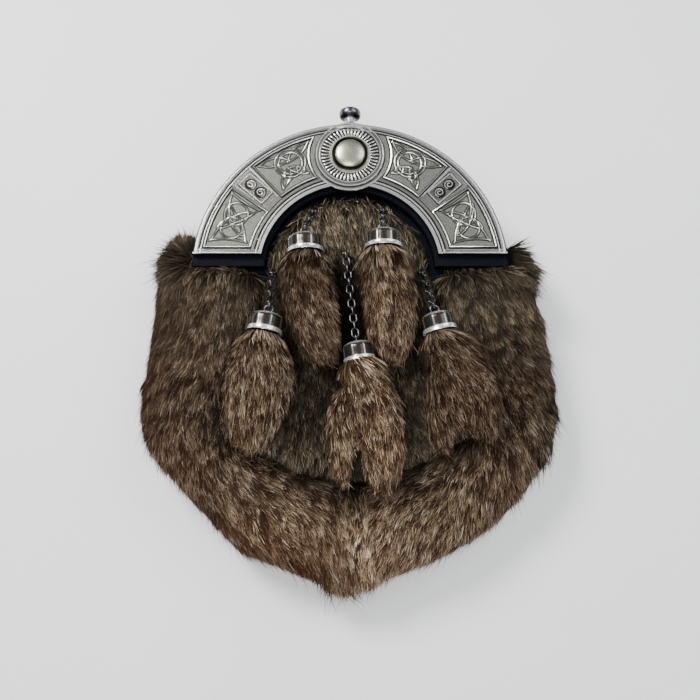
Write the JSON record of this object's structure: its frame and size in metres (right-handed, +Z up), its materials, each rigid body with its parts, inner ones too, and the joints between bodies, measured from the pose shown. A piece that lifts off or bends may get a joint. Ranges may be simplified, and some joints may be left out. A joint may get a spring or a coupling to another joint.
{
  "type": "sporran pouch",
  "caption": "Full-dress fur pouch with a cast metal cantle, round boss and knob, a hollow leather body with belt loops, and fur tassels on chains.",
  "frame": {"origin": "on the surface that the pouch lies on, below the middle of its bounding box", "axes": "+Y from the bottom of the fur towards the knob on the cantle, +Z up out of the front, +X to the right as seen from the front"},
  "size_m": [0.2195, 0.2565, 0.0598],
  "materials": {
    "leather": "black, fine grain, semi-matt",
    "fur": "long agouti fur: dark brown-black roots, tan and cream tips, reddish brown at the edges",
    "bib_fur": "shorter greyish-tan fur",
    "pewter": "cast and antiqued, bright on the raised edges and dark in the recesses",
    "polished": "polished silver-coloured plate",
    "steel": "darkened steel wire"
  },
  "bodies": {
    "root": {"pouch_shell": "leather", "back_panel": "leather", "belt_loop_left": "leather", "belt_loop_right": "leather", "fur_coat": "fur", "fur_bib": "bib_fur", "cantle_pad": "leather", "cantle": "pewter", "centre_boss": "polished", "knob": "pewter", "tassel_fur_1": "fur", "tassel_cap_1": "polished", "chain_1": "steel", "chain_staple_1": "steel", "tassel_fur_2": "fur", "tassel_cap_2": "polished", "chain_2": "steel", "chain_staple_2": "steel", "tassel_fur_3": "fur", "tassel_cap_3": "polished", "chain_3": "steel", "chain_staple_3": "steel", "tassel_fur_4": "fur", "tassel_cap_4": "polished", "chain_4": "steel", "chain_staple_4": "steel", "tassel_fur_5": "fur", "tassel_cap_5": "polished", "chain_5": "steel", "chain_staple_5": "steel"}
  },
  "joints": []
}
